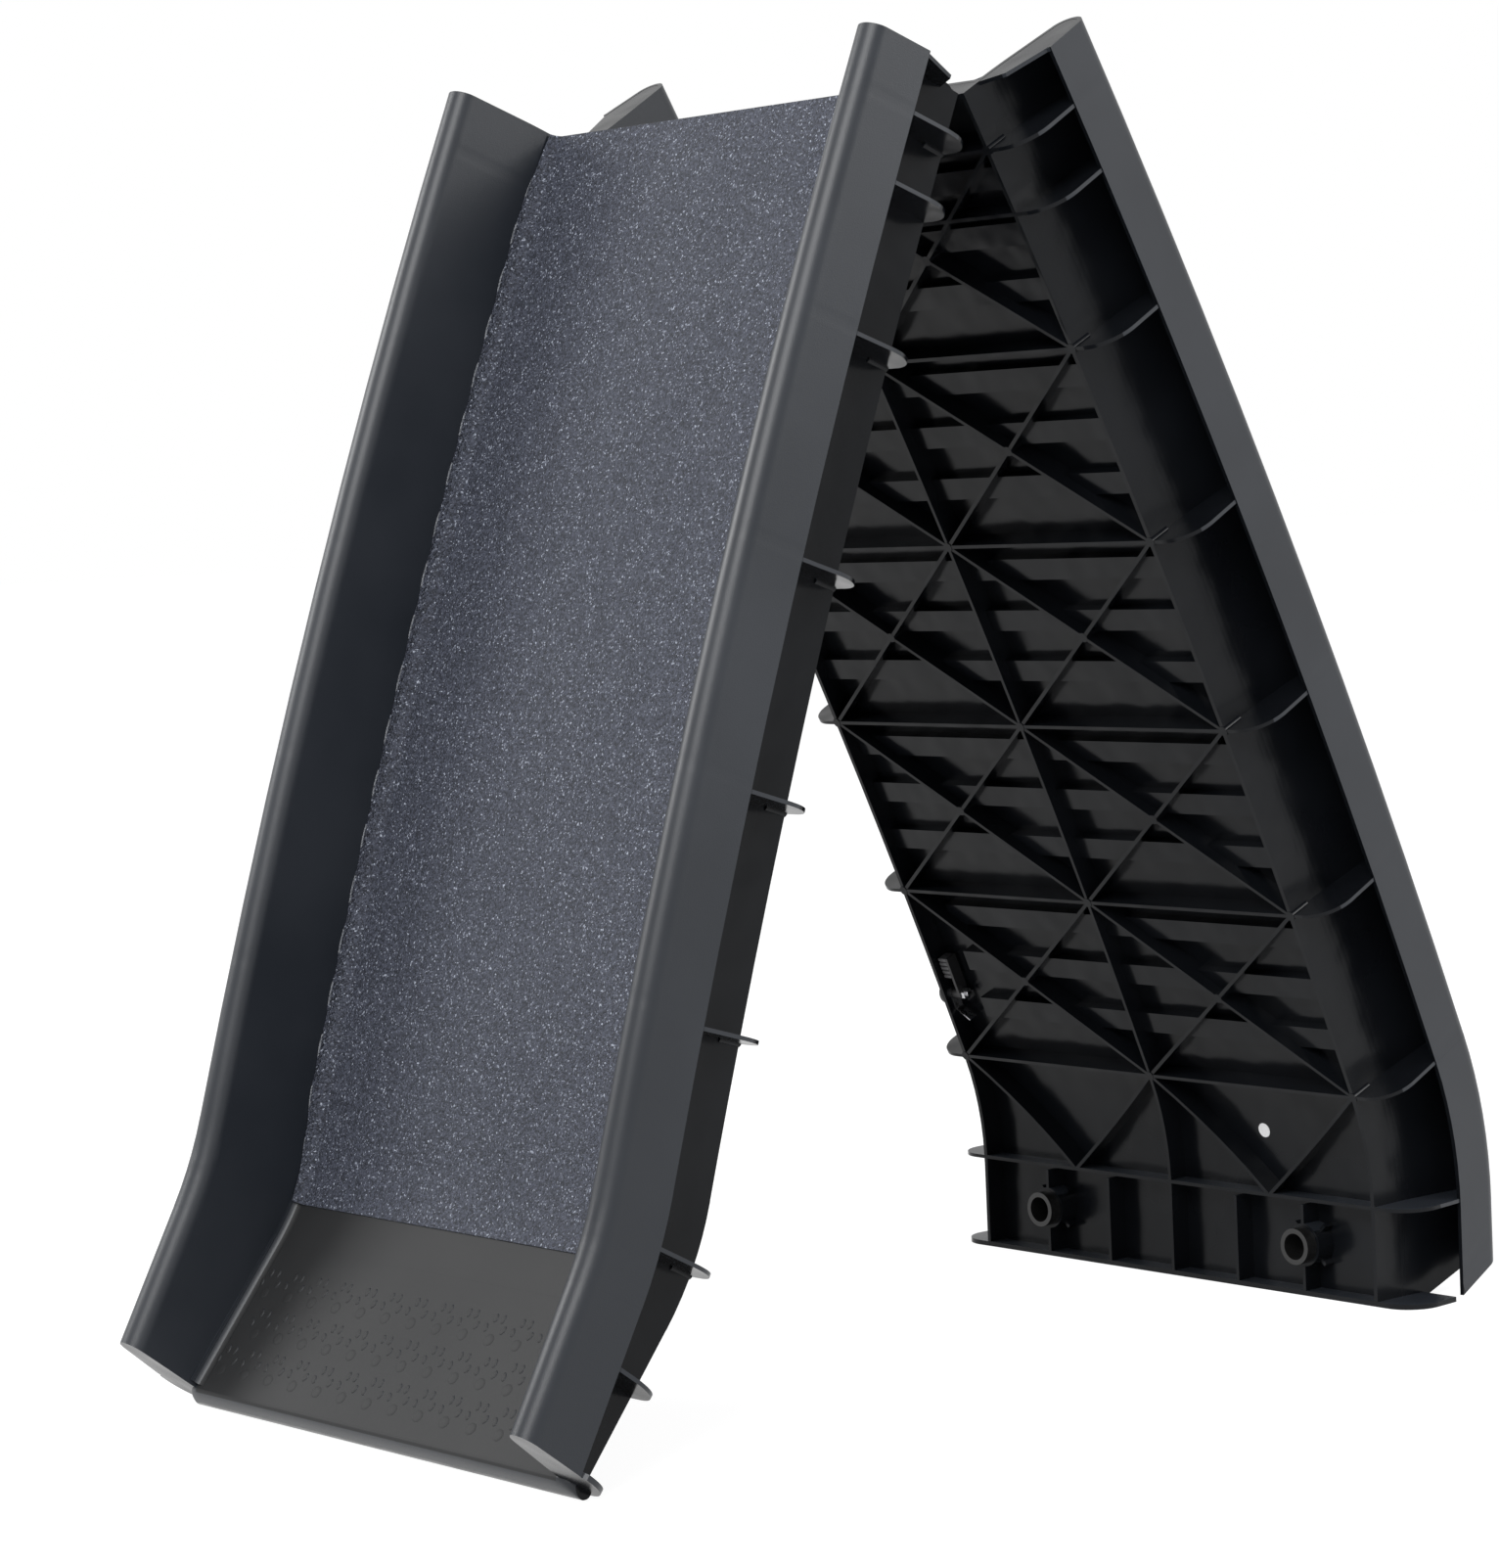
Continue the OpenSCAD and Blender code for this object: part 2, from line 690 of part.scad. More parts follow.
module foot(side, y) {
    at_tail(side) translate([tail_of(side) - foot_reach, y, -foot_drop])
        difference() {
            cylinder(r = foot_radius, h = foot_drop + seat_depth, $fn = 48);
            translate([0, 0, -overrun]) cylinder(r = foot_bore, h = foot_drop + seat_depth - foot_top + overrun, $fn = 48);
        }
}

module lower_half() {
    color([0.12, 0.12, 0.13])
        difference() {
            lower_frame() half(-1, 0);
            translate([-hinge_height, -2 * deck_half, -lip_radius]) cube([hinge_height, 4 * deck_half, lip_radius]);
        }
}

module upper_half() {
    color([0.1, 0.1, 0.11])
        difference() {
            upper_frame() half(1, 1);
            upper_frame() latch_axis()
                cylinder(r = latch_screw_radius + latch_play, h = 3 * rail_wall, center = true, $fn = 32);
        }
}

module lower_mat() {
    color([0.27, 0.3, 0.36]) lower_frame() grip_mat(-1);
}

module upper_mat() {
    color([0.27, 0.3, 0.36]) upper_frame() grip_mat(1);
}

module hinge_rod() {
    color([0.7, 0.7, 0.72])
        translate([hinge_shift, 0, hinge_height])
            rotate([90, 0, 0])
                cylinder(r = rod_radius, h = 2 * knuckle_row - 6, center = true, $fn = 48);
}

module lower_foot_near() {
    color([0.06, 0.06, 0.06]) lower_frame() foot(-1, -foot_offset);
}

module lower_foot_far() {
    color([0.06, 0.06, 0.06]) lower_frame() foot(-1, foot_offset);
}

module upper_foot_near() {
    color([0.06, 0.06, 0.06]) upper_frame() foot(1, -foot_offset);
}

module upper_foot_far() {
    color([0.06, 0.06, 0.06]) upper_frame() foot(1, foot_offset);
}

// Latch axis: Z points out through the far wall, zero is the middle of the wall
module latch_axis() {
    at_bow(latch_station)
        translate([0, deck_half + rail_wall / 2, latch_height])
            rotate([-90, 0, 0])
                children();
}

module latch_knob() {
    color([0.08, 0.08, 0.08])
        upper_frame() latch_axis()
            translate([0, 0, latch_wall + latch_slip])
                difference() {
                    union() {
                        cylinder(r = knob_radius, h = knob_rim, $fn = 48);
                        translate([0, 0, knob_rim])
                            cylinder(r1 = knob_radius, r2 = knob_radius - knob_slant, h = knob_slant, $fn = 48);
                    }
                    translate([0, 0, -overrun])
                        cylinder(r = latch_screw_radius, h = knob_rim + overrun + screw_in_knob, $fn = 32);
                }
}

module latch_screw() {
    inner = nut_height + screw_past - lever_base;
    color([0.75, 0.75, 0.76])
        upper_frame() latch_axis()
            translate([0, 0, -inner])
                cylinder(r = latch_screw_radius, h = inner + latch_wall + latch_slip + knob_rim + screw_in_knob, $fn = 32);
}

module latch_washer() {
    color([0.75, 0.75, 0.76])
        upper_frame() latch_axis()
            translate([0, 0, washer_top - strip_thickness])
                difference() {
                    cylinder(r = lever_half, h = strip_thickness, $fn = 48);
                    translate([0, 0, -overrun])
                        cylinder(r = latch_screw_radius, h = strip_thickness + 2 * overrun, $fn = 32);
                }
}

// Lever: a plate with a round boss on the screw, pointing at the hinge when closed
module latch_lever() {
    color([0.12, 0.12, 0.12])
        upper_frame() latch_axis()
            difference() {
                union() {
                    translate([0, 0, lever_base])
                        cylinder(r = lever_half, h = washer_top - strip_thickness - lever_base, $fn = 48);
                    translate([-latch_reach, -lever_half, lever_base])
                        cube([latch_reach, 2 * lever_half, lever_thickness]);
                }
                translate([0, 0, lever_base - overrun])
                    cylinder(r = latch_screw_radius, h = latch_stand + lever_thickness + overrun, $fn = 32);
            }
}

// Ribbed grip block between the lever's end and the wall
module latch_grip() {
    depth = latch_stand - grip_gap;
    color([0.35, 0.35, 0.36])
        upper_frame() latch_axis()
            translate([-latch_reach, -lever_half, lever_base + lever_thickness])
                difference() {
                    cube([grip_length, 2 * lever_half, depth]);
                    for (x = [groove_pitch - groove_width : groove_pitch : grip_length - 2 * groove_width])
                        translate([x, 2 * lever_half - groove_depth, -overrun])
                            cube([groove_width, groove_depth + overrun, depth + 2 * overrun]);
                }
}

// Spring strip that lies on the wall and bends inwards beside the lever
module latch_spring() {
    color([0.55, 0.55, 0.56])
        upper_frame() latch_axis()
            translate([0, 0, -latch_wall])
                difference() {
                    union() {
                        translate([0, 0, -strip_thickness]) cylinder(r = lever_half, h = strip_thickness, $fn = 48);
                        translate([0, -strip_half, -strip_thickness])
                            cube([strip_length, 2 * strip_half, strip_thickness]);
                        translate([strip_length, -strip_half, 0])
                            rotate([0, strip_bend, 0])
                                translate([0, 0, -strip_thickness]) cube([strip_leg, 2 * strip_half, strip_thickness]);
                    }
                    translate([0, 0, -strip_thickness - overrun])
                        cylinder(r = latch_screw_radius + latch_play, h = strip_thickness + 2 * overrun, $fn = 32);
                    translate([strip_length, -lever_half, 0])
                        cube([lever_half + overrun, 2 * lever_half, 2 * overrun]);
                }
}

module latch_nut() {
    color([0.8, 0.8, 0.8])
        upper_frame() latch_axis()
            translate([0, 0, lever_base - nut_height])
                difference() {
                    cylinder(r = nut_radius, h = nut_height, $fn = 6);
                    translate([0, 0, -overrun])
                        cylinder(r = latch_screw_radius, h = nut_height + 2 * overrun, $fn = 32);
                }
}

module inspection_sticker() {
    color([0.95, 0.95, 0.95])
        upper_frame() at_path(1, last_rib - last_bay / 2)
            translate([0, -sticker_offset, deck_height - deck_wall - 2 * seam - sticker_thickness])
                cylinder(r = sticker_radius, h = sticker_thickness, $fn = 32);
}

lower_half();
upper_half();
lower_mat();
upper_mat();
hinge_rod();
lower_foot_near();
lower_foot_far();
upper_foot_near();
upper_foot_far();
latch_knob();
latch_screw();
latch_washer();
latch_lever();
latch_grip();
latch_spring();
latch_nut();
inspection_sticker();
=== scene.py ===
import math

import bmesh
import bpy
import numpy as np
from mathutils import Matrix, Vector


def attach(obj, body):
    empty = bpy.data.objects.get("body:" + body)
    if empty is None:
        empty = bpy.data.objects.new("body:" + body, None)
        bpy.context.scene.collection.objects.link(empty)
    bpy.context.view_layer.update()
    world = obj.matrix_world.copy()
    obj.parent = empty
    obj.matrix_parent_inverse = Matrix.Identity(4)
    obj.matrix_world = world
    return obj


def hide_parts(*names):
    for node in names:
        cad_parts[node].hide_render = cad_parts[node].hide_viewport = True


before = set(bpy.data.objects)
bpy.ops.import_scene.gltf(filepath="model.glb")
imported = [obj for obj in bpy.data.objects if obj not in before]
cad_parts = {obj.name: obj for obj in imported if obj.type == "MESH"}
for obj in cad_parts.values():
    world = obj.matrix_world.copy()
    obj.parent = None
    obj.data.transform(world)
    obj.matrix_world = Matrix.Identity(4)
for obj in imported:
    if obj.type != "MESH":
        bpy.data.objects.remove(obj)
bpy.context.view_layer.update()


# The view. The camera stands low and far off to the left of the hinge, with a long lens,
# so both halves of the ramp stand almost upright side by side.
view_right = Vector((0.76308, -0.64477, -0.04455))
view_up = Vector((0.07976, 0.02554, 0.99649))
view_back = Vector((-0.64136, -0.76395, 0.07092))
view_place = Vector((-1.592995, -1.84359, 0.504413))
lens_data = bpy.data.cameras.new("camera")
lens_data.lens = 97.47
lens_data.sensor_width = 36
lens_data.sensor_fit = "AUTO"
lens_data.clip_start = 0.1
lens_data.clip_end = 60
camera = bpy.data.objects.new("camera", lens_data)
bpy.context.scene.collection.objects.link(camera)
view_turn = Matrix((view_right, view_up, view_back)).transposed().to_4x4()
camera.matrix_world = Matrix.Translation(view_place) @ view_turn
bpy.context.scene.camera = camera
bpy.context.scene.view_settings.view_transform = "Standard"


# The studio. A wide white paper floor runs off to a white room. The floor shows itself
# plain white and keeps only the soft shadow of the ramp's feet.
class Wire:
    """A number, vector or colour on its way through a material's nodes.

    Sums, products and comparisons of wires add Math nodes, and node() adds any other node."""

    def __init__(self, tree, socket=None):
        self.tree = tree
        self.socket = socket

    def node(self, kind, settings=None, sockets=None, output=0):
        """One node of that kind, with its settings and its sockets' values or links. Gives one output."""
        made = self.tree.nodes.new("ShaderNode" + kind)
        for word, value in (settings or {}).items():
            setattr(made, word, value)
        for place, value in (sockets or {}).items():
            if isinstance(value, Wire):
                self.tree.links.new(value.socket, made.inputs[place])
            else:
                made.inputs[place].default_value = value
        return Wire(self.tree, made.outputs[output] if made.outputs else None)

    def _math(self, operation, *values):
        return self.node("Math", {"operation": operation}, dict(enumerate(values)))

    def __add__(self, other):
        return self._math("ADD", self, other)

    def __radd__(self, other):
        return self._math("ADD", other, self)

    def __sub__(self, other):
        return self._math("SUBTRACT", self, other)

    def __rsub__(self, other):
        return self._math("SUBTRACT", other, self)

    def __mul__(self, other):
        return self._math("MULTIPLY", self, other)

    def __rmul__(self, other):
        return self._math("MULTIPLY", other, self)

    def __truediv__(self, other):
        return self._math("DIVIDE", self, other)

    def __abs__(self):
        return self._math("ABSOLUTE", self)

    def __gt__(self, other):
        return self._math("GREATER_THAN", self, other)

    def sign(self):
        return self._math("SIGN", self)

    def dot(self, direction):
        """How far this vector reaches along a direction."""
        return self.node("VectorMath", {"operation": "DOT_PRODUCT"}, {0: self, 1: direction}, 1)

    def noise(self, scale, detail, roughness):
        """Cloudy noise that varies with this place."""
        sockets = {"Vector": self, "Scale": scale, "Detail": detail, "Roughness": roughness}
        return self.node("TexNoise", None, sockets)

    def ramp(self, low, high):
        """Rises smoothly from 0 at low to 1 at high."""
        limits = {0: self, 1: low, 2: high, 3: 0.0, 4: 1.0}
        return self.node("MapRange", {"interpolation_type": "SMOOTHSTEP"}, limits)

    def blend(self, first, second):
        """The first colour where this wire is 0, and the second where it is 1."""
        return self.node("Mix", {"data_type": "RGBA"}, {0: self, 6: first, 7: second}, 2)


def bare_finish(name):
    """An empty material and a wire that adds its nodes."""
    made = bpy.data.materials.new(name)
    made.use_nodes = True
    made.node_tree.nodes.clear()
    return made, Wire(made.node_tree)


def seen_rays(start):
    """1 for rays that the eye, a reflection or a clear body sends out, and 0 for plain lighting."""
    kinds = ("Camera", "Glossy", "Transmission")
    eye, mirrored, through = [start.node("LightPath", output="Is " + ray + " Ray") for ray in kinds]
    return (eye + mirrored + through) > 0.5


room = bpy.data.worlds.new("room")
room.use_nodes = True
room.node_tree.nodes.clear()
air = Wire(room.node_tree)
room_light = air.node("Background", None, {"Color": (0.42, 0.42, 0.43, 1), "Strength": 1.0})
room_white = air.node("Background", None, {"Color": (1, 1, 1, 1), "Strength": 1.0})
room_shown = air.node("MixShader", None, {0: seen_rays(air), 1: room_light, 2: room_white})
air.node("OutputWorld", None, {"Surface": room_shown})
bpy.context.scene.world = room

paper, sheet = bare_finish("floor_paper")
paper_tone = sheet.node("BsdfDiffuse", None, {"Color": (0.86, 0.86, 0.865, 1)})
paper_glow = sheet.node("Emission", None, {"Color": (1, 1, 1, 1), "Strength": 0.89})
paper_shade = sheet.node("BsdfDiffuse", None, {"Color": (0.3, 0.3, 0.3, 1)})
paper_seen = sheet.node("AddShader", None, {0: paper_glow, 1: paper_shade})
paper_shown = sheet.node("MixShader", None, {0: seen_rays(sheet), 1: paper_tone, 2: paper_seen})
sheet.node("OutputMaterial", None, {"Surface": paper_shown})
reach = 25.0
floor_corners = [(-reach, -reach, 0), (reach, -reach, 0), (reach, reach, 0), (-reach, reach, 0)]
floor_mesh = bpy.data.meshes.new("floor")
floor_mesh.from_pydata(floor_corners, [], [(0, 1, 2, 3)])
floor_mesh.materials.append(paper)
floor = bpy.data.objects.new("floor", floor_mesh)
bpy.context.scene.collection.objects.link(floor)


def softbox(name, place, aim, width, height, watts):
    """A rectangular studio light that looks from its place to the point it is aimed at."""
    data = bpy.data.lights.new(name, "AREA")
    data.shape = "RECTANGLE"
    data.size = width
    data.size_y = height
    data.energy = watts
    lamp = bpy.data.objects.new(name, data)
    bpy.context.scene.collection.objects.link(lamp)
    lamp.location = place
    lamp.rotation_euler = (Vector(aim) - Vector(place)).to_track_quat("-Z", "Y").to_euler()


softbox("softbox_left", (-2.6, -1.2, 2.7), (-0.1, 0.0, 0.4), 2.0, 2.0, 115)
softbox("softbox_right", (1.8, -2.8, 2.2), (0.2, 0.0, 0.4), 1.2, 1.8, 45)
softbox("softbox_back", (-1.6, 2.5, 1.8), (-0.1, 0.0, 0.4), 1.2, 1.2, 45)


# The two halves. Each is one black polypropylene moulding: a deck with hollow side rails,
# ribbed below. The mould is fine-grained above and polished below, so the top is satin and
# the ribbed underside is glossy.
hinge_place = (-0.016915, 0.706333)
bow_radius = 5.2
hinge_drop = 0.002
deck_half = 0.1655
deck_height = 0.0165
crown_y = 0.181
first_rib = 0.035
rib_pitch = 0.1222
shapes = {
    "upper": {
        "side": 1,
        "bow": 0.647,
        "bend": 0.185,
        "turn": math.radians(22.4),
        "tail": 0.0555,
        "lean": math.radians(29.529),
    },
    "lower": {
        "side": -1,
        "bow": 0.607,
        "bend": 0.1775,
        "turn": math.radians(22.7),
        "tail": 0.0945,
        "lean": math.radians(23.25),
    },
}


def path_length(which):
    """The way from the hinge to a half's free end: its bow, the arc of its bend and its straight tail."""
    shape = shapes[which]
    return shape["bow"] + shape["bend"] * shape["turn"] + shape["tail"]


def on_half(which, s, y, n):
    """Points of one half: s is the way down its path from the hinge, y the place across it, and n the
    height above its underside.

    The path runs down an arc of the bow's large radius, then round the tighter bend by an angle of
    its way over the bend's radius, then straight on. The point stands n off the path. The whole is
    leaned over by the half's lean about the hinge, and the lower half is mirrored left to right."""
    shape = shapes[which]
    s, y, n = np.broadcast_arrays(np.asarray(s, float), np.asarray(y, float), np.asarray(n, float))
    along = np.minimum(s, shape["bow"]) / bow_radius
    turn = np.clip((s - shape["bow"]) / shape["bend"], 0, shape["turn"])
    straight = np.maximum(s - shape["bow"] - shape["bend"] * shape["turn"], 0)
    angle = shape["side"] * turn
    ahead = shape["bend"] * np.sin(turn) + straight * np.cos(angle) + n * np.sin(angle)
    off = shape["side"] * shape["bend"] * (np.cos(turn) - 1) - straight * np.sin(angle) + n * np.cos(angle)
    x = bow_radius * np.sin(along) + ahead * np.cos(along) + off * np.sin(along)
    z = bow_radius * np.cos(along) - bow_radius - ahead * np.sin(along) + off * np.cos(along) + hinge_drop
    lean = shape["lean"]
    across = shape["side"] * (x * math.sin(lean) + z * math.cos(lean)) + hinge_place[0]
    up = -x * math.cos(lean) + z * math.sin(lean) + hinge_place[1]
    return np.stack([across, y, up], -1)


def moulded_plastic(which):
    """Black polypropylene of one half: satin and finely grained above, polished below.

    The satin faces are those that look up from the deck, and those of the rails that look away from
    the middle of the crown and lie above the deck. All others are polished. The height of a place
    over the underside allows for the arch, which falls away from a straight line by the square of
    the way over its double radius."""
    side, lean = shapes[which]["side"], shapes[which]["lean"]
    below = (-side * math.cos(lean), 0.0, -math.sin(lean))
    ahead = (side * math.sin(lean), 0.0, -math.cos(lean))
    hinge_point = (hinge_place[0], 0.0, hinge_place[1])
    rail_inner, rail_low = 0.1652, 0.0155
    leans_out, faces_up, lies_flat = 0.08, 0.35, 0.8
    ripple = 14.0
    made, wire = bare_finish("moulded_plastic_" + which)
    place = wire.node("TexCoord", output="Object")
    facing = wire.node("TexCoord", output="Normal")
    y = place.node("SeparateXYZ", None, {0: place}, 1)
    out = place.node("SeparateXYZ", None, {0: facing}, 1) * y.sign()
    upward = facing.dot(below) * -1
    from_hinge = place.node("VectorMath", {"operation": "SUBTRACT"}, {0: place, 1: hinge_point})
    way = from_hinge.dot(ahead)
    height = way * way / (2 * bow_radius) - from_hinge.dot(below)
    rail = (abs(y) > rail_inner) * (height > rail_low)
    outward = ((abs(y) - crown_y).sign() * out) > leans_out
    satin = ((upward > faces_up) + rail * outward) > 0.5
    on_deck = (upward > lies_flat) * (1 - (abs(y) > deck_half))
    cloud = place.noise(9.0, 3.0, 0.55)
    grain = place.noise(1400.0, 2.0, 0.6)
    wobble = place.noise(38.0, 1.0, 0.4)
    cloudy = cloud.ramp(0.35, 0.7)
    # The rails have sunk a little over each rib: ribs stand at equal steps along the half.
    from_rib = place.node("Math", {"operation": "PINGPONG"}, {0: way - first_rib, 1: rib_pitch / 2})
    sink = (1 - from_rib.ramp(0.0008, 0.0055)) * (abs(y) > deck_half)
    relief = satin * (grain + 0.25 * cloud - 0.9 * sink) + (1 - satin) * ripple * wobble
    bump = place.node("Bump", None, {"Strength": 0.18, "Distance": 0.0004, "Height": relief})
    above = place.node(
        "BsdfPrincipled",
        None,
        {
            # Painted shade: the deck top between the rails gets a darker copy of the satin colour. Its
            # rougher finish there is real.
            "Base Color": on_deck.blend(
                cloudy.blend((0.0115, 0.0142, 0.0190, 1), (0.0175, 0.0206, 0.0262, 1)),
                cloudy.blend((0.0048, 0.0052, 0.0058, 1), (0.0075, 0.0080, 0.0088, 1)),
            ),
            "Roughness": 0.32 + 0.12 * cloud + 0.05 * grain + 0.24 * on_deck,
            "Normal": bump,
            "Specular IOR Level": 0.4,
        },
    )
    beneath = place.node(
        "BsdfPrincipled",
        None,
        {
            "Base Color": cloudy.blend((0.0042, 0.0049, 0.0062, 1), (0.0060, 0.0069, 0.0086, 1)),
            "Roughness": 0.13 + 0.12 * cloud,
            "Normal": bump,
            "Specular IOR Level": 0.15,
        },
    )
    mixed = wire.node("MixShader", None, {0: satin, 1: beneath, 2: above})
    wire.node("OutputMaterial", None, {"Surface": mixed})
    return made


def dress(node, finish):
    """Gives a CAD node its finish."""
    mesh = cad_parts[node].data
    mesh.materials.clear()
    mesh.materials.append(finish)


for which in ("lower", "upper"):
    dress(which + "_half", moulded_plastic(which))


# The grip mats. A self-adhesive sheet of blue-grey grit on each deck, cut a little too wide,
# so its two long edges turn up against the rails in slow waves. Its ends are cut straight.
mat_rise = 0.001
mat_start = 0.001
mat_end = 0.650
mat_thickness = 0.0009
rise_radius = 0.010
wave_pitch = 0.0302
wave_drift = 0.11


def placed(name, mesh, body, finish, smooth=math.radians(40)):
    """Turns a mesh's faces outwards, smooths it up to an edge angle, and sets it on its body and slot."""
    shell = bmesh.new()
    shell.from_mesh(mesh)
    bmesh.ops.recalc_face_normals(shell, faces=shell.faces)
    for face in shell.faces:
        face.smooth = True
    for edge in shell.edges:
        edge.smooth = len(edge.link_faces) == 2 and edge.calc_face_angle(0) < smooth
    shell.to_mesh(mesh)
    shell.free()
    mesh.materials.append(finish)
    piece = bpy.data.objects.new(name, mesh)
    bpy.context.scene.collection.objects.link(piece)
    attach(piece, body)
    return piece


def closed_piece(name, rings, body, finish):
    """A closed skin through rings of points, shape (rings, points, 3), with a flat face over each end."""
    count, size = rings.shape[:2]
    index = np.arange(count * size).reshape(count, size)
    after = np.roll(index, -1, 1)
    quads = np.stack([index[:-1], after[:-1], after[1:], index[1:]], -1).reshape(-1, 4)
    faces = quads.tolist() + [index[0][::-1].tolist(), index[-1].tolist()]
    mesh = bpy.data.meshes.new(name)
    mesh.from_pydata(rings.reshape(-1, 3).tolist(), [], faces)
    return placed(name, mesh, body, finish)


def grit_finish():
    """Grit of mixed grains on a dark blue-grey binder: each cell of a fine pattern is one grain, and a
    few of them are light. The cut edge carries a painted highlight where the mesh marks it."""
    made, wire = bare_finish("grit")
    place = wire.node("TexCoord", output="Object")
    cells = {"Vector": place, "Scale": 950.0}
    grains = place.node("TexVoronoi", {"feature": "F1"}, cells, "Color")
    grain_tone = place.node("SeparateColor", None, {0: grains}, 0)
    lump = place.node("TexVoronoi", {"feature": "F1"}, cells, "Distance")
    speck = place.noise(700.0, 3.0, 0.7)
    drift = place.noise(14.0, 3.0, 0.6)
    tone = grain_tone.ramp(0.05, 0.85).blend((0.010, 0.0125, 0.020, 1), (0.047, 0.053, 0.075, 1))
    tone = (grain_tone * speck).ramp(0.46, 0.60).blend(tone, (0.36, 0.39, 0.46, 1))
    cut = place.node("Attribute", {"attribute_name": "edge_highlight"}, output="Fac")
    # Painted highlight: light grey laid on the cut edge at the wave crests.
    tone = (cut * (0.6 + 0.8 * speck)).ramp(0.35, 0.75).blend(tone, (0.22, 0.23, 0.25, 1))
    relief = (0.7 - lump) * 0.8 + 0.6 * speck
    bump = place.node("Bump", None, {"Strength": 0.9, "Distance": 0.0009, "Height": relief})
    body = place.node(
        "BsdfPrincipled",
        None,
        {"Base Color": tone, "Roughness": 0.55 + 0.2 * drift, "Normal": bump, "Specular IOR Level": 0.4},
    )
    wire.node("OutputMaterial", None, {"Surface": body})
    return made


grit = grit_finish()
for which in ("lower", "upper"):
    ways = np.linspace(mat_start, mat_end, 240)
    wave = 0.5 + 0.5 * np.sin(ways / wave_pitch * 2 * math.pi + 0.8 * np.sin(ways / wave_drift))
    ends = np.clip(np.minimum(ways - mat_start, (mat_end - ways) * 0.7) / 0.05, 0, 1)
    height = 0.0045 + 0.0052 * ends * (0.82 + 0.18 * wave)
    # The sheet's middle is flat. Near a rail it follows a quarter circle up to its height.
    full_turn = np.arccos(1 - np.minimum(height / rise_radius, 0.98))
    top_turn = np.linspace(0, 1, 9)[None, :] * full_turn[:, None]
    low_turn = top_turn[:, ::-1]
    flat_half = deck_half - 0.0002 - rise_radius
    under_radius = rise_radius + mat_thickness
    top_y = flat_half + rise_radius * np.sin(top_turn)
    top_n = deck_height + mat_rise + rise_radius * (1 - np.cos(top_turn))
    low_y = np.minimum(flat_half + under_radius * np.sin(low_turn), deck_half - 0.0001)
    low_n = deck_height + mat_rise + rise_radius - under_radius * np.cos(low_turn)
    ring_y = np.concatenate([-top_y[:, ::-1], top_y, low_y, -low_y[:, ::-1]], 1)
    ring_n = np.concatenate([top_n[:, ::-1], top_n, low_n, low_n[:, ::-1]], 1)
    rings = on_half(which, ways[:, None], ring_y, ring_n)
    mat = closed_piece(which + "_grip_mat", rings, which, grit)
    # A painted highlight lights the cut edge on each crest of the wave, where the edge turns up highest:
    # it is marked on the rim of the ring.
    rim = np.zeros(ring_y.shape)
    crest = np.clip((wave - 0.45) * 8, 0, 1) * ends
    last = top_y.shape[1]
    for column in (0, 2 * last - 1, 2 * last, 4 * last - 1):
        rim[:, column] = crest
    mat.data.attributes.new("edge_highlight", "FLOAT", "POINT").data.foreach_set("value", rim.ravel())
    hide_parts(which + "_mat")


# The paw prints. Three staggered rows of low raised prints on the bare end of each deck,
# cut into the mould for grip. Each is a broad pad and four toes that point to the hinge.
def paw_domes():
    """The domes of one deck's prints: each one's way, place across, half length, half width and lean."""
    pitch_y = 0.0235
    row_ways = (0.6957, 0.7205, 0.7452)
    pad_behind, pad_length, pad_width = 0.0128, 0.0036, 0.0040
    toe_length, toe_width = 0.00275, 0.0017
    toe_places = (
        (-0.00325, 0.0, 0.1),
        (0.00325, 0.0, -0.1),
        (-0.0076, 0.0062, 0.35),
        (0.0076, 0.0062, -0.35),
    )
    pads, toes = [], []
    for row, s in enumerate(row_ways):
        count = 13 if row == 1 else 14
        for k in range(count):
            y = (k - (count - 1) / 2) * pitch_y
            pads.append((s + pad_behind, y, pad_length, pad_width, 0.0))
            for dy, ds, lean in toe_places:
                toes.append((s + ds, y + dy, toe_length, toe_width, lean))
    return np.array(pads + toes)


def paws(which, finish):
    """All prints of one deck. Each dome is a stack of ellipses that rise from a foot sunk in the deck
    and narrow to a flat top."""
    way, place, half_long, half_wide, lean = [column[:, None, None] for column in paw_domes().T]
    turns = np.linspace(0, 2 * math.pi, 12, endpoint=False)[None, None, :]
    steps = np.array([1.0, 1.0, 0.86, 0.6, 0.3])[None, :, None]
    lift = np.array([-0.0004, 0.00005, 0.00022, 0.00033, 0.00038])[None, :, None]
    along = steps * np.cos(turns) * half_long
    over = steps * np.sin(turns) * half_wide
    s = way + along * np.cos(lean) - over * np.sin(lean)
    y = place + along * np.sin(lean) + over * np.cos(lean)
    points = on_half(which, s, y, deck_height + lift)
    count, rings, size = points.shape[:3]
    index = np.arange(count * rings * size).reshape(count, rings, size)
    after = np.roll(index, -1, 2)
    quads = np.stack([index[:, :-1], after[:, :-1], after[:, 1:], index[:, 1:]], -1).reshape(-1, 4)
    faces = quads.tolist() + index[:, 0, ::-1].tolist() + index[:, -1].tolist()
    mesh = bpy.data.meshes.new(which + "_paw_prints")
    mesh.from_pydata(points.reshape(-1, 3).tolist(), [], faces)
    placed(which + "_paw_prints", mesh, which, finish, math.radians(70))


for which in ("lower", "upper"):
    paws(which, bpy.data.materials["moulded_plastic_" + which])


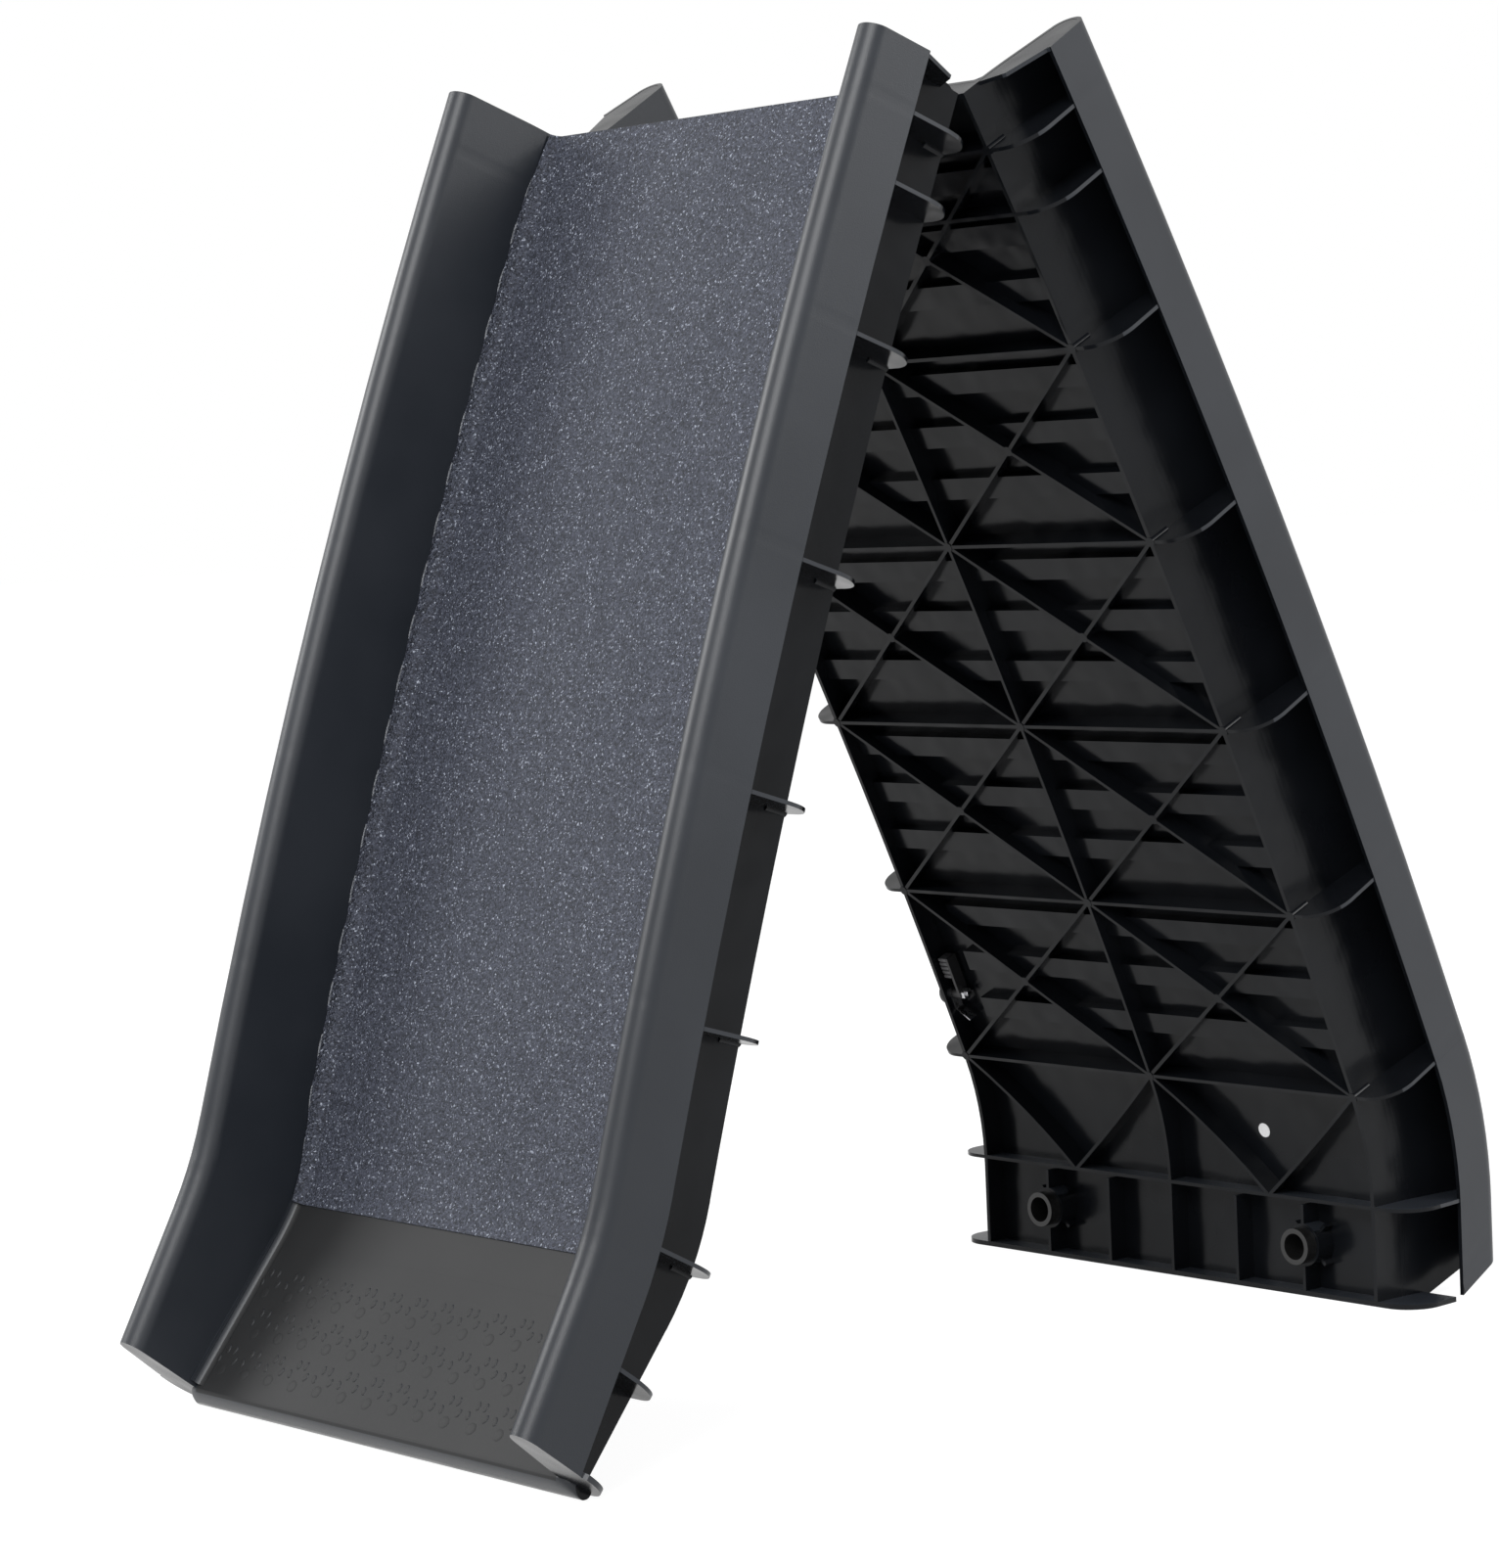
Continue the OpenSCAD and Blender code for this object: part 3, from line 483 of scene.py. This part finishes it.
# The corner fillets and the nose. Fillets fill the corners between the bare end of each deck
# and its rails, and a rolled nose ends the lower half. All are part of the mouldings.
def corner_fillet(which, side):
    """A strip whose section is a corner cut off by a quarter circle, carried along the bare deck."""
    radius = 0.0055
    ways = np.linspace(mat_end - 0.004, path_length(which) - 0.002, 70)[:, None]
    turn = np.linspace(0, math.pi / 2, 9)
    in_rail, in_deck = deck_half + 0.0012, deck_height - 0.001
    arc_y = deck_half - radius + radius * np.sin(turn)
    arc_n = deck_height + radius * (1 - np.cos(turn)) + 0.0001
    y = np.concatenate([arc_y, [in_rail, in_rail, deck_half - radius]])
    n = np.concatenate([arc_n, [deck_height + radius, in_deck, in_deck]])
    rings = on_half(which, ways, side * y[None, :], n[None, :])
    name = which + "_corner_" + ("far" if side > 0 else "near")
    closed_piece(name, rings, which, bpy.data.materials["moulded_plastic_" + which])


for which in ("lower", "upper"):
    for side in (-1, 1):
        corner_fillet(which, side)


def rolled_nose():
    """The lip's nose: from the deck's edge forward and down an ellipse, then round the lip itself.

    Towards both ends the ellipse sinks to the lip's own circle, so the nose ends rounded."""
    lip_n, lip_radius, half = 0.0041, 0.00455, 0.1758
    y = half * np.sin(np.linspace(-math.pi / 2, math.pi / 2, 81))
    end = np.clip((half - np.abs(y)) / 0.012, 0, 1)
    rise = lip_radius + (deck_height + 0.0002 - lip_n - lip_radius) * np.sqrt(1 - (1 - end) ** 2)
    turn = np.linspace(math.pi / 2, -math.pi / 12, 15)
    ahead = np.concatenate([lip_radius * np.cos(turn), [-0.001, -0.001]])
    n = lip_n + np.where(np.sin(turn)[None, :] > 0, rise[:, None], lip_radius) * np.sin(turn)[None, :]
    n = np.concatenate([n, n[:, -1:], n[:, :1] - 0.0003], 1)
    rings = on_half("lower", path_length("lower") + ahead[None, :], y[:, None], n)
    closed_piece("lower_nose", rings, "lower", bpy.data.materials["moulded_plastic_lower"])


rolled_nose()


# The hinge rod and the latch. The rod and the latch's screw, washer, nut and spring strip are
# zinc-plated steel. The latch's lever and knob are matt black plastic, and its ribbed grip is
# a lighter grey.
def simple_finish(name, tone, dark, rough, metal, scale, depth):
    """A finish whose colour and roughness drift a little, with a fine bump."""
    made, wire = bare_finish(name)
    place = wire.node("TexCoord", output="Object")
    cloud = place.noise(scale, 4.0, 0.6)
    colour = cloud.ramp(0.3, 0.7).blend(dark, tone)
    bump = place.node("Bump", None, {"Strength": 0.25, "Distance": depth, "Height": cloud})
    body = place.node(
        "BsdfPrincipled",
        None,
        {"Base Color": colour, "Roughness": rough + 0.12 * cloud, "Normal": bump, "Metallic": metal},
    )
    wire.node("OutputMaterial", None, {"Surface": body})
    return made


zinc = simple_finish(
    "zinc_plated_steel", (0.62, 0.62, 0.64, 1), (0.42, 0.42, 0.43, 1), 0.22, 1.0, 350.0, 0.0001
)
for node in ("hinge_rod", "latch_screw", "latch_washer", "latch_nut", "latch_spring"):
    dress(node, zinc)
matt_black = simple_finish(
    "latch_plastic", (0.012, 0.012, 0.013, 1), (0.007, 0.007, 0.008, 1), 0.4, 0.0, 900.0, 0.0002
)
for node in ("latch_knob", "latch_lever"):
    dress(node, matt_black)
grip_grey = simple_finish(
    "latch_grip", (0.12, 0.12, 0.125, 1), (0.05, 0.05, 0.052, 1), 0.45, 0.0, 500.0, 0.0003
)
dress("latch_grip", grip_grey)


# The feet. Four black rubber sleeves, two near each free end. Each is pressed into a round
# socket of its moulding.
rubber = simple_finish(
    "foot_rubber", (0.012, 0.012, 0.012, 1), (0.006, 0.006, 0.006, 1), 0.25, 0.0, 700.0, 0.0002
)
for node in ("lower_foot_near", "lower_foot_far", "upper_foot_near", "upper_foot_far"):
    dress(node, rubber)


# The inspection sticker. A small round dot of plain white paper, stuck to the ribbed side of
# the upper half.
white_paper = simple_finish(
    "white_paper", (0.9, 0.9, 0.9, 1), (0.84, 0.84, 0.84, 1), 0.6, 0.0, 800.0, 0.00005
)
dress("inspection_sticker", white_paper)
